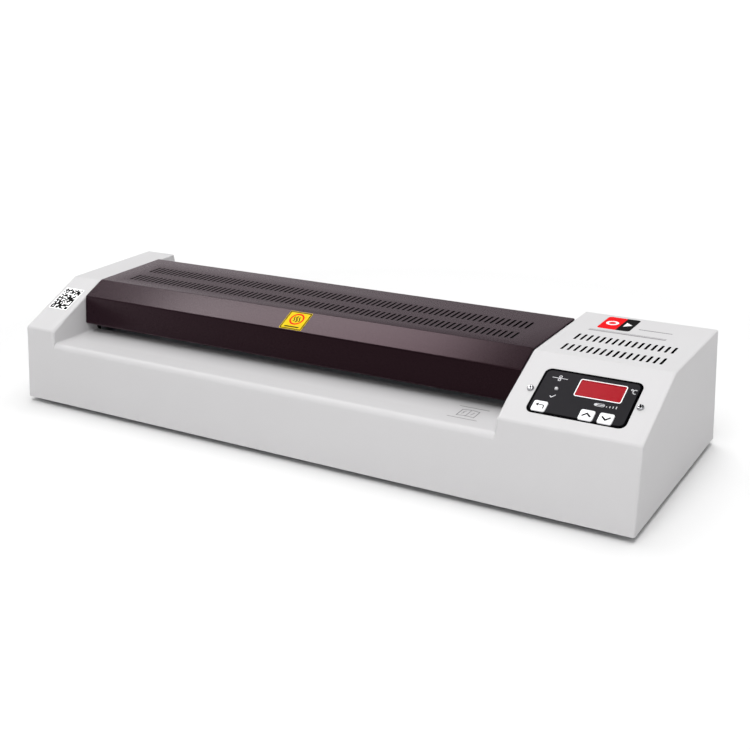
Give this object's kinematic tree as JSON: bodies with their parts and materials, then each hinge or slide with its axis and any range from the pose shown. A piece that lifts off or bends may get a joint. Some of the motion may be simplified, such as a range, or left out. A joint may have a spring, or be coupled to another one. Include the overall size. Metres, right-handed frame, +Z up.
{
  "type": "pouch laminator",
  "caption": "Wide desktop pouch laminator with a feed tray, a slotted dark top cover and a sloped control panel with a red display.",
  "frame": {"origin": "on the table, under the middle of the casing", "axes": "+X along the machine towards the control housing, -Y out of the feed side, +Z up"},
  "size_m": [0.66, 0.216, 0.1153],
  "materials": {
    "white_plastic": "satin moulded white plastic",
    "brown_paint": "dark brown powder paint",
    "zinc_steel": "zinc plated sheet",
    "bright_steel": "ground steel",
    "aluminium": "extruded",
    "mica": "mica sheet",
    "cream_ceramic": "glazed",
    "bronze": "sintered bronze",
    "black_plastic": "satin black plastic",
    "gear_nylon": "natural nylon",
    "red_silicone": "heat-proof silicone",
    "grey_silicone": "silicone",
    "board_green": "glass-fibre board",
    "board_parts": "soldered components",
    "display_dark": "dark digit module",
    "red_window": "translucent red",
    "led_clear": "clear lens",
    "overlay_grey": "printed film",
    "button_white": "glossy white",
    "brass_pin": "plated",
    "foot_rubber": "soft",
    "wire_red": "insulated wire",
    "label_yellow": "printed sticker",
    "label_white": "printed sticker"
  },
  "bodies": {
    "chassis": {"main_casing": "white_plastic", "top_cover": "brown_paint", "bottom_pan": "zinc_steel", "left_side_frame": "zinc_steel", "right_side_frame": "zinc_steel", "tie_bars": "bright_steel", "lower_heat_shoe": "aluminium", "upper_heat_shoe": "aluminium", "mica_heaters": "mica", "heat_sensors": "cream_ceramic", "heat_shield": "zinc_steel", "lower_pouch_guide": "bright_steel", "upper_pouch_guide": "bright_steel", "exit_guide": "bright_steel", "lower_bushings": "bronze", "front_pressure_springs": "bright_steel", "rear_pressure_springs": "bright_steel", "spring_keepers": "zinc_steel", "motor_bracket": "zinc_steel", "gear_motor": "zinc_steel", "idler_shaft": "bright_steel", "power_board": "board_green", "board_components": "board_parts", "display_board": "board_green", "digit_display": "display_dark", "tact_switches": "black_plastic", "ready_led": "led_clear", "panel_overlay": "overlay_grey", "display_window": "red_window", "panel_screws": "zinc_steel", "power_inlet": "black_plastic", "inlet_pins": "brass_pin", "switch_housing": "black_plastic", "rubber_feet": "foot_rubber", "underside_screws": "zinc_steel", "frame_screws": "zinc_steel", "cover_screws": "zinc_steel", "caution_label": "label_yellow", "code_label": "label_white", "internal_wiring": "wire_red"},
    "lower_hot_roller": {"lower_hot_core": "bright_steel", "lower_hot_sleeve": "red_silicone", "lower_hot_gear": "gear_nylon"},
    "upper_hot_roller": {"upper_hot_core": "bright_steel", "upper_hot_sleeve": "red_silicone", "upper_hot_gear": "gear_nylon"},
    "lower_cold_roller": {"lower_cold_core": "bright_steel", "lower_cold_sleeve": "grey_silicone", "lower_cold_gear": "gear_nylon"},
    "upper_cold_roller": {"upper_cold_core": "bright_steel", "upper_cold_sleeve": "grey_silicone", "upper_cold_gear": "gear_nylon"},
    "hot_carriage": {"front_bearing_blocks": "black_plastic"},
    "cold_carriage": {"rear_bearing_blocks": "black_plastic"},
    "idler": {"idler_gear": "gear_nylon"},
    "pinion": {"motor_pinion": "gear_nylon"},
    "reverse_button": {"button_reverse": "button_white"},
    "up_button": {"button_up": "button_white"},
    "down_button": {"button_down": "button_white"},
    "rocker": {"switch_rocker": "black_plastic"}
  },
  "joints": [
    {"name": "reverse_press", "type": "slide", "parent": "chassis", "child": "reverse_button", "axis": [0, 0.4226, -0.9063], "range_m": [0, 0.0006], "stiffness_N_per_m": 600},
    {"name": "up_press", "type": "slide", "parent": "chassis", "child": "up_button", "axis": [0, 0.4226, -0.9063], "range_m": [0, 0.0006], "stiffness_N_per_m": 600},
    {"name": "down_press", "type": "slide", "parent": "chassis", "child": "down_button", "axis": [0, 0.4226, -0.9063], "range_m": [0, 0.0006], "stiffness_N_per_m": 600},
    {"name": "switch_rock", "type": "hinge", "parent": "chassis", "child": "rocker", "pos_m": [0.246, 0.10107, 0.05585], "axis": [0, -0.11, 0.9939], "range_deg": [0, 16]},
    {"name": "hot_lift", "type": "slide", "parent": "chassis", "child": "hot_carriage", "axis": [0, 0, 1], "range_m": [0, 0.0012], "stiffness_N_per_m": 8000, "springref_m": -0.003, "deforming": ["front_pressure_springs"]},
    {"name": "cold_lift", "type": "slide", "parent": "chassis", "child": "cold_carriage", "axis": [0, 0, 1], "range_m": [0, 0.0012], "stiffness_N_per_m": 8000, "springref_m": -0.003, "deforming": ["rear_pressure_springs"]},
    {"name": "lower_hot_spin", "type": "hinge", "parent": "chassis", "child": "lower_hot_roller", "pos_m": [-0.0426, -0.008, 0.0515], "axis": [1, 0, 0], "continuous": true},
    {"name": "upper_hot_spin", "type": "hinge", "parent": "hot_carriage", "child": "upper_hot_roller", "pos_m": [-0.0426, -0.008, 0.0815], "axis": [1, 0, 0], "continuous": true},
    {"name": "lower_cold_spin", "type": "hinge", "parent": "chassis", "child": "lower_cold_roller", "pos_m": [-0.0426, 0.038, 0.0515], "axis": [1, 0, 0], "continuous": true},
    {"name": "upper_cold_spin", "type": "hinge", "parent": "cold_carriage", "child": "upper_cold_roller", "pos_m": [-0.0426, 0.038, 0.0815], "axis": [1, 0, 0], "continuous": true},
    {"name": "idler_spin", "type": "hinge", "parent": "chassis", "child": "idler", "pos_m": [-0.0426, 0.015, 0.0515], "axis": [1, 0, 0], "continuous": true},
    {"name": "pinion_spin", "type": "hinge", "parent": "chassis", "child": "pinion", "pos_m": [-0.0426, -0.02794, 0.0422], "axis": [1, 0, 0], "continuous": true}
  ],
  "couplings": [
    {"joint": "upper_hot_spin", "follows": "lower_hot_spin", "ratio": -1},
    {"joint": "idler_spin", "follows": "lower_hot_spin", "ratio": -1.875},
    {"joint": "lower_cold_spin", "follows": "lower_hot_spin", "ratio": 1},
    {"joint": "upper_cold_spin", "follows": "lower_hot_spin", "ratio": -1},
    {"joint": "pinion_spin", "follows": "lower_hot_spin", "ratio": -2.1429}
  ]
}
